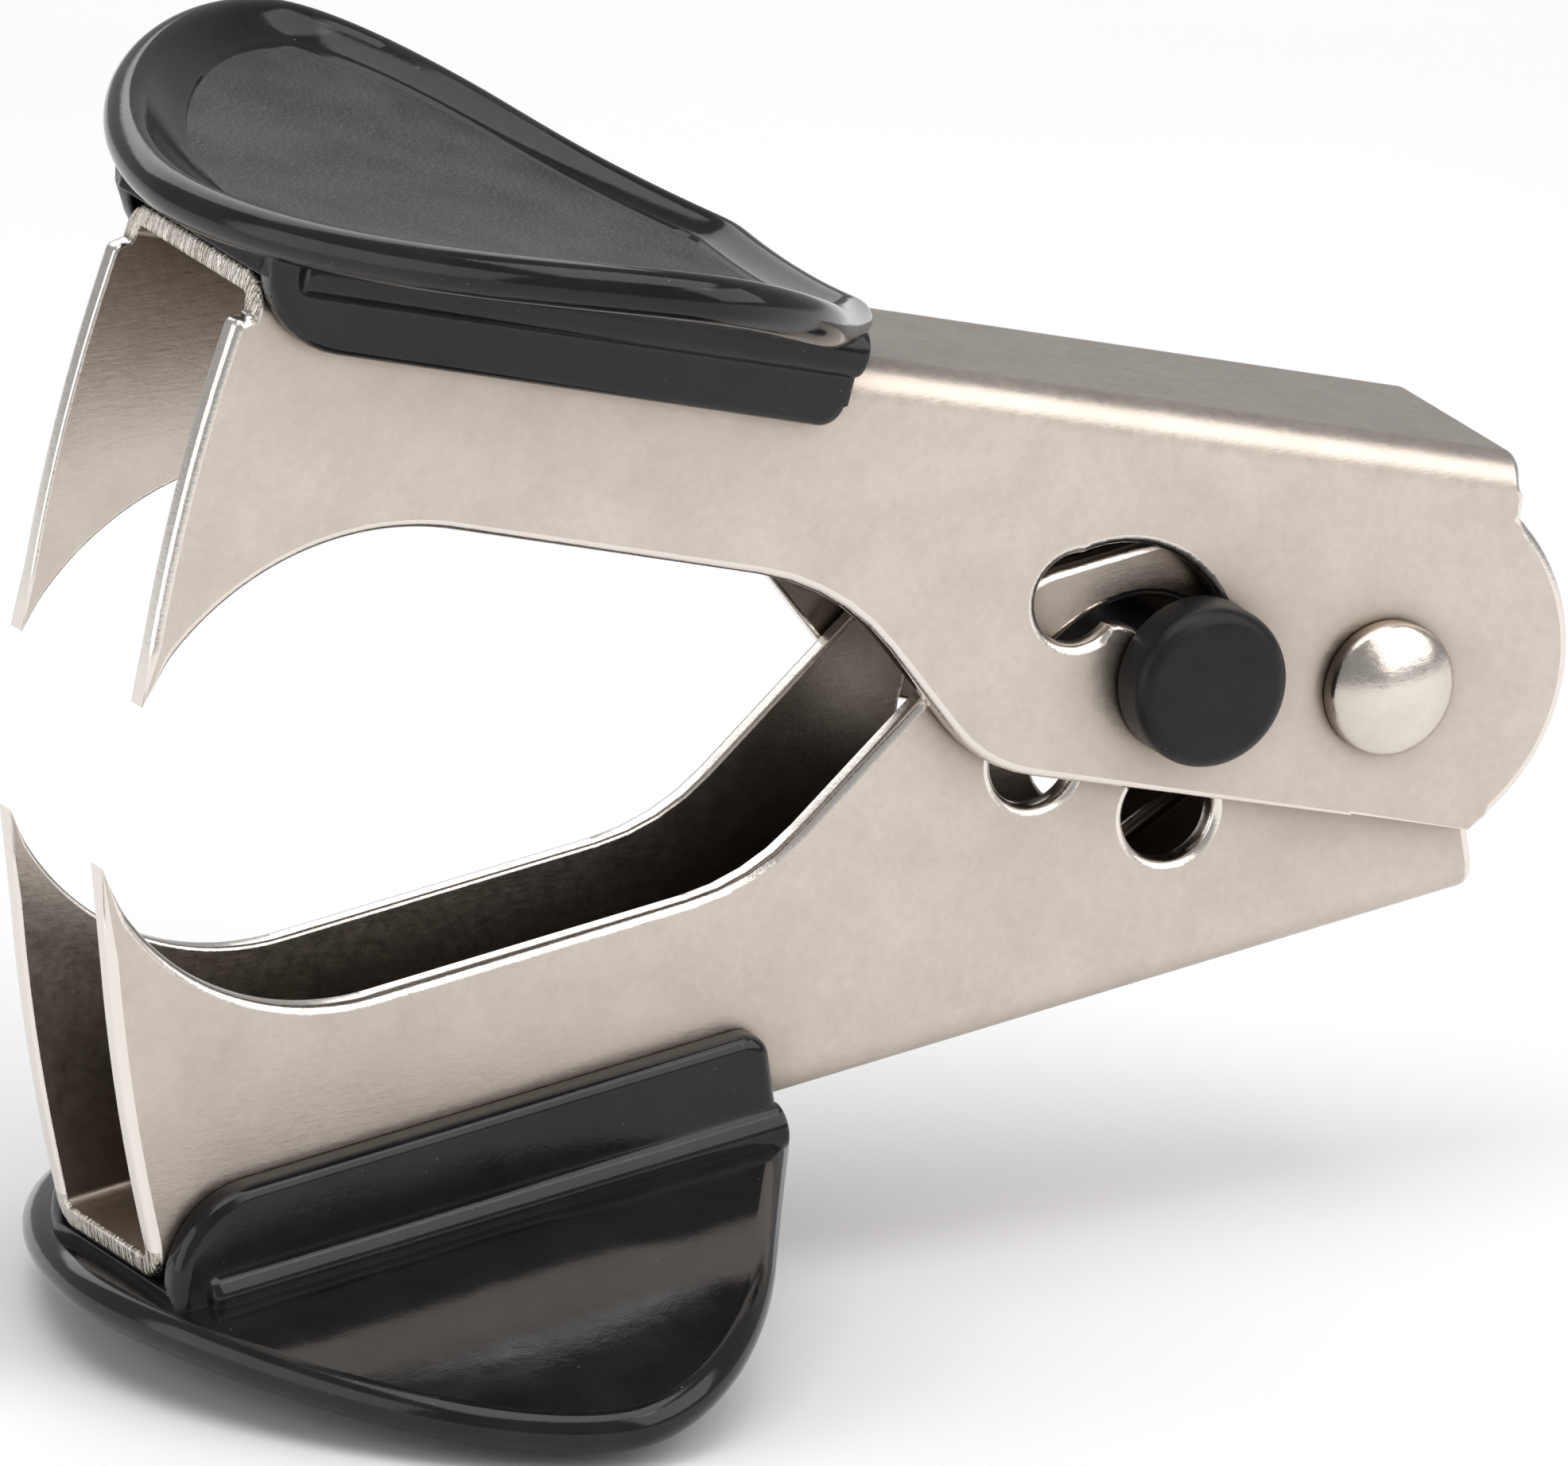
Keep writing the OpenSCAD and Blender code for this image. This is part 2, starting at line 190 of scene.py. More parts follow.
def combine(add, cut):
    """Outline loops of the added shapes less the cut ones.

    Outer loops run anticlockwise and holes clockwise.
    """
    points, faces = [], []
    for shape in add + cut:
        base = len(points)
        points += [Vector(p) for p in shape]
        faces.append(list(range(base, len(points))))
    verts, _, tris, _, _, sources = delaunay_2d_cdt(points, [], faces, 1, 1e-5)
    kept = [
        t for t, ids in zip(tris, sources)
        if any(i < len(add) for i in ids) and not any(i >= len(add) for i in ids)
    ]
    follow = {}
    edges = {(t[i], t[(i + 1) % len(t)]) for t in kept for i in range(len(t))}
    for a, b in edges:
        if (b, a) not in edges:
            follow.setdefault(a, []).append(b)
    loops = []
    while follow:
        start = next(iter(follow))
        loop, here = [], start
        while here in follow:
            loop.append(here)
            nxt = follow[here].pop()
            if not follow[here]:
                del follow[here]
            here = nxt
        pts = np.array([verts[i][:] for i in loop])
        far = np.linalg.norm(pts - np.roll(pts, 1, 0), axis=1) > SHORTEST
        if far.sum() > 3 and abs(area(pts)) > SMALLEST:
            loops.append(pts[far])
    return loops


def inward(loop):
    """Mitre direction into the material at each point, which lies on the loop's left."""
    before = loop - np.roll(loop, 1, 0)
    after = np.roll(loop, -1, 0) - loop
    before /= np.linalg.norm(before, axis=1)[:, None]
    after /= np.linalg.norm(after, axis=1)[:, None]
    normal = np.stack([-(before + after)[:, 1], (before + after)[:, 0]], 1)
    length = np.linalg.norm(normal, axis=1)
    normal /= np.maximum(length, 1e-6)[:, None]
    mitre = np.minimum(2 / np.maximum(length, 0.9), 1.5)
    return normal * mitre[:, None]


def room(loops):
    """How deep each outline point may be rounded before it meets the outline's other side."""
    starts = np.concatenate(loops)
    ends = np.concatenate([np.roll(loop, -1, 0) for loop in loops])
    result = []
    for loop in loops:
        normal = inward(loop)
        free = np.full(len(loop), 9.0)
        for i, (p, n) in enumerate(zip(loop, normal)):
            d = ends - starts
            cross = n[0] * d[:, 1] - n[1] * d[:, 0]
            rel = starts - p
            with np.errstate(divide="ignore", invalid="ignore"):
                t = (rel[:, 0] * d[:, 1] - rel[:, 1] * d[:, 0]) / cross
                s = (rel[:, 0] * n[1] - rel[:, 1] * n[0]) / cross
            hit = (np.abs(cross) > 1e-9) & (t > 0.01) & (s > -0.001) & (s < 1.001)
            if hit.any():
                free[i] = t[hit].min()
        near = np.minimum(free, np.minimum(np.roll(free, 1), np.roll(free, -1)))
        result.append(DEEPEST * near)
    return result


def crossings(loop):
    """Indices of the segments of a closed loop that cross a segment other than their neighbours."""
    a, b = loop, np.roll(loop, -1, 0)
    n = len(loop)

    def side(p, q, r):
        along, to = q - p, r - p
        return along[..., 0] * to[..., 1] - along[..., 1] * to[..., 0]

    a1, b1, a2, b2 = a[:, None], b[:, None], a[None], b[None]
    hit = (side(a1, b1, a2) * side(a1, b1, b2) < 0) & (side(a2, b2, a1) * side(a2, b2, b1) < 0)
    gap = np.abs(np.arange(n)[:, None] - np.arange(n)[None])
    hit &= (gap > 1) & (gap < n - 1)
    return np.nonzero(hit.any(1))[0]


def untangled(loop, normal, free, radius):
    """Lowers the rounding where the inset outline would cross itself."""
    n = len(loop)
    for _ in range(12):
        inset = loop + normal * np.minimum(free, radius)[:, None]
        bad = crossings(inset)
        if not len(bad):
            break
        for i in bad:
            for k in (-1, 0, 1, 2):
                free[(i + k) % n] = min(free[(i + k) % n], radius) * 0.6
    return free


# ---------- solid geometry ----------

ROLL_STEPS = 4
LATHE_SIDES = 96


def rolled_solid(bm, loops, thick, r_top, r_bottom, place, lines=()):
    """A plate with rolled edges, its faces split along the given bend lines.

    place(plan, depth) carries plan points at a depth below the top face to space.
    """
    normals = [inward(loop) for loop in loops]
    largest = max(r_top, r_bottom)
    free = [untangled(*args, largest) for args in zip(loops, normals, room(loops))]
    rings = []
    quarter = [math.pi / 2 * k / ROLL_STEPS for k in range(ROLL_STEPS + 1)]
    for a in quarter:
        rings.append((r_top * (1 - math.sin(a)), 0.0, r_top * (1 - math.cos(a)), r_top))
    for a in quarter:
        rings.append((r_bottom * (1 - math.cos(a)), thick, r_bottom * (math.sin(a) - 1), r_bottom))
    made = []
    for loop, normal, f in zip(loops, normals, free):
        stack = []
        for inset, base, depth, radius in rings:
            share = np.minimum(1.0, f / max(radius, 1e-9))
            plan = loop + normal * (inset * share)[:, None]
            stack.append([bm.verts.new(p) for p in place(plan, base + depth * share)])
        made.append((stack, loop, normal, f))
    edge = bm.faces.layers.float.get("edge")
    for stack, *_ in made:
        n = len(stack[0])
        for upper, lower in zip(stack, stack[1:]):
            for i in range(n):
                j = (i + 1) % n
                face = bm.faces.new((upper[i], lower[i], lower[j], upper[j]))
                if edge:
                    face[edge] = 1.0
    for end, radius in ((0, r_top), (-1, r_bottom)):
        points, ids, verts = [], [], []
        for stack, loop, normal, f in made:
            inset = np.minimum(1.0, f / max(radius, 1e-9)) * radius
            base = len(points)
            points += [Vector(p) for p in loop + normal * inset[:, None]]
            verts += stack[end]
            ring = list(range(base, len(points)))
            ids.append(ring if area(loop) > 0 else ring[::-1])
        edges = [
            tuple(min(range(len(points)), key=lambda i: (points[i] - Vector(p)).length) for p in line)
            for line in lines
        ]
        outer = [i for i, (_, loop, _, _) in enumerate(made) if area(loop) > 0]
        _, _, tris, origin, _, sources = delaunay_2d_cdt(points, edges, ids, 1, 1e-7)
        for t, source in zip(tris, sources):
            if not all(i in outer for i in source):
                continue
            corners = [verts[origin[i][0]] for i in t]
            if end == -1:
                corners.reverse()
            if len(set(corners)) == 3 and bm.faces.get(corners) is None:
                bm.faces.new(corners)


def lathe(bm, profile):
    """Turns a profile of (radius, height) about Z; a radius of 0 closes an end."""
    turns = [2 * math.pi * i / LATHE_SIDES for i in range(LATHE_SIDES)]
    rings = []
    for r, h in profile:
        if r < 1e-6:
            rings.append([bm.verts.new((0, 0, h))])
        else:
            rings.append([bm.verts.new((r * math.cos(t), r * math.sin(t), h)) for t in turns])
    for a, b in zip(rings, rings[1:]):
        for i in range(LATHE_SIDES):
            j = (i + 1) % LATHE_SIDES
            corners = []
            for v in (a[i % len(a)], a[j % len(a)], b[j % len(b)], b[i % len(b)]):
                if v not in corners:
                    corners.append(v)
            if len(corners) > 2:
                bm.faces.new(corners)


def tube(bm, rings):
    """Closes a row of equal rings of vertices into a tube with flat ends."""
    for a, b in zip(rings, rings[1:]):
        for i in range(len(a)):
            j = (i + 1) % len(a)
            bm.faces.new((a[i], a[j], b[j], b[i]))
    bm.faces.new(rings[0])
    bm.faces.new(rings[-1])


def finish_mesh(name, bm, matrix, materials, weighted=True, flat_axes=()):
    """An object from a mesh drawn in millimetres; faces square to flat_axes are shaded flat."""
    bmesh.ops.recalc_face_normals(bm, faces=bm.faces)
    bm.normal_update()
    for face in bm.faces:
        face.smooth = not any(abs(face.normal[k]) > 0.9995 for k in flat_axes)
    mesh = bpy.data.meshes.new(name)
    bm.to_mesh(mesh)
    bm.free()
    mesh.transform(matrix)
    for m in materials:
        mesh.materials.append(m)
    obj = bpy.data.objects.new(name, mesh)
    bpy.context.scene.collection.objects.link(obj)
    if weighted:
        mod = obj.modifiers.new("even_shading", "WEIGHTED_NORMAL")
        mod.weight = 100
        mod.keep_sharp = True
    return obj


def united(name, parts, materials):
    """One mesh from overlapping closed meshes."""
    base = parts[0]
    for other in parts[1:]:
        mod = base.modifiers.new("join", "BOOLEAN")
        mod.operation = "UNION"
        mod.solver = "EXACT"
        mod.object = other
    bpy.context.view_layer.update()
    result = base.evaluated_get(bpy.context.evaluated_depsgraph_get())
    mesh = bpy.data.meshes.new_from_object(result)
    mesh.name = name
    obj = bpy.data.objects.new(name, mesh)
    for p in parts:
        bpy.data.objects.remove(p)
    for i, m in enumerate(materials):
        mesh.materials[i] = m
    bpy.context.scene.collection.objects.link(obj)
    return obj


# ---------- materials ----------


class Look:
    """A node material in the making, with object coordinates in millimetres."""

    def __init__(self, name):
        self.material = bpy.data.materials.new(name)
        self.material.use_nodes = True
        self.tree = self.material.node_tree
        self.shader = self.tree.nodes["Principled BSDF"]
        coords = self.add("ShaderNodeTexCoord")
        self.mm = self.add("ShaderNodeVectorMath", operation="SCALE")
        self.mm.inputs["Scale"].default_value = 1 / MM
        self.link(coords.outputs["Object"], self.mm.inputs[0])
        self.place = self.mm.outputs[0]

    def add(self, kind, **settings):
        node = self.tree.nodes.new(kind)
        for key, value in settings.items():
            setattr(node, key, value)
        return node

    def link(self, a, b):
        self.tree.links.new(a, b)

    def set(self, **values):
        for key, value in values.items():
            self.shader.inputs[key.replace("_", " ")].default_value = value

    def noise(self, scale, detail=3.0, rough=0.5, stretch=(1, 1, 1)):
        mapping = self.add("ShaderNodeMapping")
        mapping.inputs["Scale"].default_value = stretch
        self.link(self.place, mapping.inputs["Vector"])
        node = self.add("ShaderNodeTexNoise")
        node.inputs["Scale"].default_value = scale
        node.inputs["Detail"].default_value = detail
        node.inputs["Roughness"].default_value = rough
        self.link(mapping.outputs[0], node.inputs["Vector"])
        return node.outputs["Fac"]

    def ramp(self, value, stops):
        node = self.add("ShaderNodeValToRGB")
        while len(node.color_ramp.elements) < len(stops):
            node.color_ramp.elements.new(0.5)
        for element, (at, colour) in zip(node.color_ramp.elements, stops):
            element.position = at
            element.color = (*colour, 1)
        self.link(value, node.inputs["Fac"])
        return node.outputs["Color"]

    def span(self, value, low, high, out_low, out_high):
        node = self.add("ShaderNodeMapRange")
        limits = {"From Min": low, "From Max": high, "To Min": out_low, "To Max": out_high}
        for key, v in limits.items():
            node.inputs[key].default_value = v
        self.link(value, node.inputs["Value"])
        return node.outputs["Result"]

    def mix(self, factor, a, b):
        node = self.add("ShaderNodeMix", data_type="RGBA")
        for key, v in (("Factor", factor), ("A", a), ("B", b)):
            socket = node.inputs[key]
            if isinstance(v, (tuple, float, int)):
                socket.default_value = (*v, 1) if isinstance(v, tuple) else v
            else:
                self.link(v, socket)
        return node.outputs["Result"]

    def mathing(self, operation, a, b):
        node = self.add("ShaderNodeMath", operation=operation)
        for socket, v in zip(node.inputs, (a, b)):
            if isinstance(v, (float, int)):
                socket.default_value = v
            else:
                self.link(v, socket)
        return node.outputs[0]

    def bump(self, height, distance_mm, strength=1.0, under=None):
        node = self.add("ShaderNodeBump")
        node.inputs["Distance"].default_value = distance_mm * MM
        node.inputs["Strength"].default_value = strength
        self.link(height, node.inputs["Height"])
        if under is not None:
            self.link(under, node.inputs["Normal"])
        return node.outputs["Normal"]

    def edges(self, radius_mm):
        """0 on flats, 1 on edges: how far a softened normal turns away from the true one."""
        soft = self.add("ShaderNodeBevel", samples=4)
        soft.inputs["Radius"].default_value = radius_mm * MM
        turn = self.add("ShaderNodeVectorMath", operation="DOT_PRODUCT")
        self.link(soft.outputs["Normal"], turn.inputs[0])
        self.link(self.add("ShaderNodeNewGeometry").outputs["Normal"], turn.inputs[1])
        return self.span(turn.outputs["Value"], 0.98, 0.80, 0, 1)


# painted shade: the colour that ambient occlusion mixes in where the steel is enclosed, and how far it
# looks, in mm
PAINTED_SHADE = (0.15, 0.115, 0.085)
PAINTED_SHADE_REACH = 9.0
# rolled edges: a lighter colour as a painted highlight, and a lower roughness for their real polish
POLISH_AND_PAINTED_HIGHLIGHT = (0.80, 0.745, 0.69)
POLISHED_ROUGH = 0.6
DUST = (0.22, 0.22, 0.23)
WEAR_R = 0.35


def plated_steel(name, light, dark, rough, cut=0.0):
    """Clouded plating, with painted shade where it is enclosed, and polished, with a painted highlight,
    on its edges.

    cut is the depth of the torn surface that shears leave, and takes away the edges' lighter colour, a
    painted highlight.
    """
    look = Look(name)
    cloud = look.noise(0.35, 5, 0.6)
    mottle = look.noise(2.4, 4, 0.65)
    grain = look.noise(9.0, 3, 0.7)
    brushed = look.noise(3.0, 3, 0.6, stretch=(0.25, 1, 2.2))
    broad, small = look.mathing("MULTIPLY", cloud, 0.55), look.mathing("MULTIPLY", mottle, 0.45)
    base = look.ramp(look.mathing("ADD", broad, small), [(0.32, dark), (0.62, light)])
    # painted shade: ambient occlusion darkens the base colour in hollows, inside the channel and near
    # other parts
    shade = look.add("ShaderNodeAmbientOcclusion", samples=4)
    shade.inputs["Distance"].default_value = PAINTED_SHADE_REACH * MM
    base = look.mix(look.span(shade.outputs["AO"], 0.36, 0.93, 0, 1), PAINTED_SHADE, base)
    # painted highlight: the faces of the rolled edges get a lighter colour; the roughness below is
    # their real polish
    edge_mask = look.add("ShaderNodeAttribute", attribute_name="edge").outputs["Fac"]
    colour = base if cut else look.mix(edge_mask, base, POLISH_AND_PAINTED_HIGHLIGHT)
    look.link(colour, look.shader.inputs["Base Color"])
    speckle = look.mathing("ADD", mottle, look.mathing("MULTIPLY", grain, 0.6))
    spread = look.span(speckle, 0.5, 1.1, *rough)
    smooth = look.mathing("MULTIPLY", spread, look.span(edge_mask, 0, 1, 1, POLISHED_ROUGH))
    look.link(smooth, look.shader.inputs["Roughness"])
    first = look.bump(brushed, 0.012, 0.5)
    second = look.bump(mottle, 0.02, 0.6, first)
    last = look.bump(grain, 0.006, 0.7, second)
    if cut:
        torn = look.noise(1.5, 3, 0.6, stretch=(1, 2.2, 0.5))
        last = look.bump(torn, cut, 1.0, last)
    look.link(last, look.shader.inputs["Normal"])
    look.set(Metallic=1.0)
    return look.material


def moulded_plastic(name, colour, rough, grain_size, grain_depth, specks, sheen):
    """Moulded grain with dust specks, wiped streaks and pale edges."""
    look = Look(name)
    cloud = look.noise(0.25, 4, 0.6)
    fine = look.noise(grain_size, 2, 0.6)
    tint = tuple(min(1.0, c * 1.7 + 0.002) for c in colour)
    base = look.mix(look.span(cloud, 0.35, 0.65, 0, 1), colour, tint)
    dots = look.span(look.noise(5.5, 1, 0.5), specks, specks + 0.02, 0, 0.6)
    edge_mask = look.mathing("MULTIPLY", look.edges(WEAR_R), 0.1)
    scuffed = look.mix(look.mathing("MAXIMUM", dots, edge_mask), base, DUST)
    look.link(scuffed, look.shader.inputs["Base Color"])
    wipe = look.noise(1.1, 4, 0.6, stretch=(1, 0.35, 1))
    look.link(look.span(wipe, 0.3, 0.7, *rough), look.shader.inputs["Roughness"])
    soft = look.bump(cloud, 0.05, 0.4)
    look.link(look.bump(fine, grain_depth, 1.0, soft), look.shader.inputs["Normal"])
    look.set(IOR=1.5, Specular_IOR_Level=sheen)
    return look.material


steel = plated_steel(
    "satin_nickel", (0.645, 0.573, 0.513), (0.54, 0.475, 0.42), (0.30, 0.41)
)
cut_steel = plated_steel(
    "rough_cut_edge", (0.90, 0.85, 0.77), (0.42, 0.37, 0.30), (0.20, 0.32), 0.3
)
dome_steel = plated_steel(
    "polished_rivet", (0.74, 0.68, 0.62), (0.64, 0.58, 0.52), (0.17, 0.25)
)
wire_steel = plated_steel(
    "spring_wire", (0.60, 0.59, 0.57), (0.48, 0.46, 0.44), (0.25, 0.35)
)
glossy_black = moulded_plastic(
    "glossy_black_plastic", (0.006, 0.006, 0.007), (0.08, 0.15), 9.0, 0.002, 0.79, 0.34
)
grained_black = moulded_plastic(
    "grained_black_plastic", (0.034, 0.034, 0.034), (0.42, 0.52), 4.5, 0.11, 0.80, 0.5
)
satin_black = moulded_plastic(
    "satin_black_plastic", (0.007, 0.007, 0.008), (0.27, 0.36), 12.0, 0.012, 0.84, 0.22
)

# ---------- jaws ----------


def pressed_channel(name, width, top, side_loops, front, rear, matrix):
    """A cut blank folded into a channel: two side plates joined by a spine."""
    half = width / 2 - BEND_R
    arc = BEND_R * math.pi / 2
    fold_z = top - BEND_R

    def to_near(loop):
        return np.stack([loop[:, 0], -(half + arc) + loop[:, 1] - fold_z], 1)

    def to_far(loop):
        return np.stack([loop[:, 0], (half + arc) - loop[:, 1] + fold_z], 1)[::-1]

    outer = next(loop for loop in side_loops if area(loop) > 0)
    holes = [loop for loop in side_loops if area(loop) < 0]
    on_fold = np.abs(outer[:, 1] - fold_z) < 1e-3
    first = int(np.argmin(np.where(on_fold, outer[:, 0], 1e9)))
    plate = np.roll(outer, -first, 0)
    last = int(np.argmax(np.where(np.abs(plate[:, 1] - fold_z) < 1e-3, plate[:, 0], -1e9)))
    plate = plate[: last + 1]
    levels = sorted(
        s * (half + arc * k / BEND_STEPS) for s in (-1, 1) for k in range(BEND_STEPS + 1)
    )
    rear_side = np.array([[rear, v] for v in levels[1:-1]])
    front_side = np.array([[front, v] for v in levels[::-1][1:-1]])
    blank = [np.concatenate([to_near(plate), rear_side, to_far(plate), front_side])]
    for hole in holes:
        blank += [to_near(hole), to_far(hole)]
    lines = [((front, v), (rear, v)) for v in levels[1:-1]]
    ends = [to_near(plate), to_far(plate)]
    lines += [(tuple(e[0]), tuple(e[-1])) for e in ends]

    def folded(plan, depth):
        x, v = plan[:, 0], plan[:, 1]
        depth = np.broadcast_to(depth, v.shape)
        side = np.sign(v)
        past = np.abs(v) - half
        angle = np.clip(past, 0, arc) / BEND_R
        y = np.where(past <= 0, v, side * (half + (BEND_R - depth) * np.sin(angle)))
        z = np.where(past <= 0, top - depth, fold_z + (BEND_R - depth) * np.cos(angle))
        z = z - np.maximum(past - arc, 0)
        return np.stack([x, y, z], 1)

    bm = bmesh.new()
    bm.faces.layers.float.new("edge")
    rolled_solid(bm, blank, SHEET, EDGE_OUT, EDGE_IN, folded, lines)
    for face in bm.faces:
        middle = face.calc_center_median()
        if middle.x < front + EDGE_OUT * 0.7 and middle.z > fold_z - 0.3:
            face.material_index = 1
    return finish_mesh(name, bm, matrix, [steel, cut_steel], flat_axes=(1, 2))


LOCK_TRAVEL = math.radians(JOINTS["lock_travel"]["range_deg"][1])


def to_upper_frame(point):
    """A point of the part's frame, in metres, as the upper jaw's own frame has it, in millimetres."""
    return IN_UPPER.inverted() @ Vector(point)


lock_centre = to_upper_frame(JOINTS["lock_travel"]["pos_m"])
pin_low, pin_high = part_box("lock_pin")
pin_home = to_upper_frame((pin_low + pin_high) / 2)
lock_arm = Vector((pin_home.x - lock_centre.x, pin_home.z - lock_centre.z))
LOCK_ARC_R = lock_arm.length
LOCK_HOME = math.atan2(lock_arm.y, lock_arm.x)
LOCK_CENTRE = (lock_centre.x, lock_centre.z)


def shaft_at(share):
    """The lock shaft's axis in the upper jaw at a share of its travel."""
    a = LOCK_HOME + LOCK_TRAVEL * share
    return LOCK_CENTRE[0] + LOCK_ARC_R * math.cos(a), LOCK_CENTRE[1] + LOCK_ARC_R * math.sin(a)


def above(fold):
    """What is cut off a side plate's outline, because the fold takes over there."""
    return np.array([[-BEYOND, fold], [12, fold], [12, 20], [-BEYOND, 20]])


def upper_side():
    fold = UPPER_TOP - BEND_R
    body = rounded([
        (SPINE_FRONT, fold, 0),
        (SPINE_FRONT - 0.02, fold - 0.35, 0.12),
        (-51.6, fold - 0.5, 0.5),
        (-52.2, 0.5, 70),
        (UPPER_TIP, -TOOTH_DROP, 0),
        (UPPER_THROAT_X, -TOOTH_DROP, 0),
        (UPPER_THROAT_X, UPPER_EDGE_Z, 0),
        (UPPER_STEP_X, UPPER_EDGE_Z, 10),
        (*UPPER_BELLY, 6),
        (0, UPPER_HEEL_Z, 0),
        (0, UPPER_LOBE_Z, 0),
        (4.0, 7.13, 0.3),
        (3.9, fold, 0),
    ])
    under = np.array([[-9, -9], [9, -9], [9, -5.05], [-9, UPPER_HEEL_Z]])
    lobe = combine([circle((0, UPPER_LOBE_Z), UPPER_LOBE_R, 120)], [under])[0]
    turns = [LOCK_HOME + LOCK_TRAVEL * i / 16 for i in range(17)]
    slot = []
    for sign in (1, -1):
        r = LOCK_ARC_R + sign * LOCK_R
        slot += [
            (LOCK_CENTRE[0] + r * math.cos(a), LOCK_CENTRE[1] + r * math.sin(a))
            for a in turns[::sign]
        ]
    cuts = [
        circle((UPPER_THROAT_X, UPPER_EDGE_Z - UPPER_THROAT_R), UPPER_THROAT_R, 180),
        np.array(slot),
        circle(shaft_at(0), LOCK_R),
        circle(shaft_at(1), LOBE_R),
        circle((0, 0), SHANK_R),
        above(fold),
    ]
    return combine([body, lobe], cuts)


def lower_side():
    fold = LOWER_TOP - BEND_R
    body = rounded([
        (LOWER_FRONT, fold, 0),
        (-52.9, 2, 78),
        (LOWER_TIP, -TOOTH_RISE, 0),
        (LOWER_THROAT_X, -TOOTH_RISE, 0),
        (LOWER_THROAT_X, LOWER_EDGE_Z, 0),
        (LOWER_STEP_X, LOWER_EDGE_Z, 9),
        (LOWER_HUMP_X, LOWER_HUMP_Z, 3),
        (-5, LOWER_HUMP_Z, 3),
        (0, -LOWER_LOBE_R, 0),
        (LOWER_REAR, 0, 0),
        (LOWER_REAR, fold, 0),
    ])
    path = []
    for i in range(15):
        x, z = shaft_at(i / 14)
        x, z = turned(x, z, CLOSING * (1 - i / 14))
        path.append((x, -z))
    home = (pin_home.x, -pin_home.z)
    cuts = [
        circle((LOWER_THROAT_X, LOWER_EDGE_Z - LOWER_THROAT_R), LOWER_THROAT_R, 180),
        circle((0, 0), SHANK_R + LOWER_HOLE_GAP),
    ]
    for a, b in list(zip(path, path[1:])) + [(path[0], home), (home, FREE_FOOT)]:
        cuts += [bar(a, b, LOCK_R), circle(b, LOCK_R, 48)]
    cuts += [
        circle(path[0], LOCK_R, 48),
        circle(FREE_FOOT, FREE_FOOT_R),
        bar(path[-1], LOCKED_FOOT, LOBE_R),
        circle(path[-1], LOBE_R),
        circle(LOCKED_FOOT, LOBE_R),
        above(fold),
    ]
    return combine([body, circle((0, 0), LOWER_LOBE_R, 120)], cuts)


upper_jaw = pressed_channel(
    "upper_jaw_plate", UPPER_W, UPPER_TOP, upper_side(), SPINE_FRONT, SPINE_REAR, IN_UPPER
)
lower_jaw = pressed_channel(
    "lower_jaw_plate", LOWER_W, LOWER_TOP, lower_side(), LOWER_FRONT, LOWER_REAR, IN_LOWER_FLIPPED
)
for piece, node in ((upper_jaw, "upper_jaw"), (lower_jaw, "lower_jaw")):
    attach(piece, node)
    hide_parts(node)

# ---------- grips ----------

SKIRT_T = 1.2
SKIRT_FRONT = -51.8
SKIRT_LENGTH = 25.4
PAD_X = -39.6
PAD_FRONT = 13.9
PAD_REAR = 12.8
PAD_HALF_W = 20.5
PAD_POINT = 1.15
PAD_RISE = 1.3
DISH_R = 62.0
PAD_AROUND = 240
TAIL_OUT = 0.85
TAIL_R = 1.8
TAIL_SLIM = 0.12
RIM_R = 0.9
RIM_STEPS = 14
RIM_FROM = -90
RIM_SWEEP = 200
BORDER_STEPS = 7
BORDER_FALL = 1.6
BORDER_FOOT = 0.05
PANEL_FRONT = 0.74
PANEL_REAR = 0.85
PANEL_ACROSS = 0.88
PANEL_SINK = 0.12
PANEL_WALL = 0.992
INNER_RINGS = (0.9, 0.75, 0.55, 0.35, 0.15)
SMOOTH_WIDTH = 11
CAP_T = 1.1
CAP_LIFT = 1.15
BEAD_OUT = 0.85
BEAD_UP = 0.98
BEAD_IN = 0.3
BEAD_LIFT = 0.5
BEAD_SIDES = 24
BEAD_FRONT = 1.3
BEAD_LENGTH = SKIRT_LENGTH - 1.2
GRIP_SHARP = 38


def evenly(pts, count):
    """The same closed outline as evenly spaced points."""
    step = np.linalg.norm(np.roll(pts, -1, 0) - pts, axis=1)
    along = np.concatenate([[0], np.cumsum(step)])
    closed = np.concatenate([pts, pts[:1]])
    at = np.linspace(0, along[-1], count + 1)[:-1]
    return np.stack([np.interp(at, along, closed[:, k]) for k in (0, 1)], 1)


def pad_outline(tail_x, tail_half):
    """The pad seen from above: an oval, softly pointed, joined to the straight tail over the skirts."""
    t = np.linspace(0, 2 * math.pi, 360, endpoint=False)
    u = np.sign(np.cos(t)) * np.abs(np.cos(t)) ** PAD_POINT
    v = np.sign(np.sin(t)) * np.abs(np.sin(t)) ** PAD_POINT
    oval = np.stack([PAD_X + np.where(u > 0, PAD_REAR, PAD_FRONT) * u, PAD_HALF_W * v], 1)
    tail = rounded([
        (PAD_X, -tail_half, 0),
        (tail_x, -tail_half, TAIL_R),
        (tail_x, tail_half, TAIL_R),
        (PAD_X, tail_half, 0),
    ])
    both = np.concatenate([oval, tail])
    pts = both[convex_hull_2d([Vector(p) for p in both])]
    kernel = np.hanning(2 * SMOOTH_WIDTH + 3)[1:-1]
    kernel /= kernel.sum()
    for _ in range(3):
        pts = evenly(pts, PAD_AROUND * 8)
        ring = np.concatenate([pts[-SMOOTH_WIDTH:], pts, pts[:SMOOTH_WIDTH]])
        pts = np.stack([np.convolve(ring[:, k], kernel, "valid") for k in (0, 1)], 1)
    return evenly(pts, PAD_AROUND)


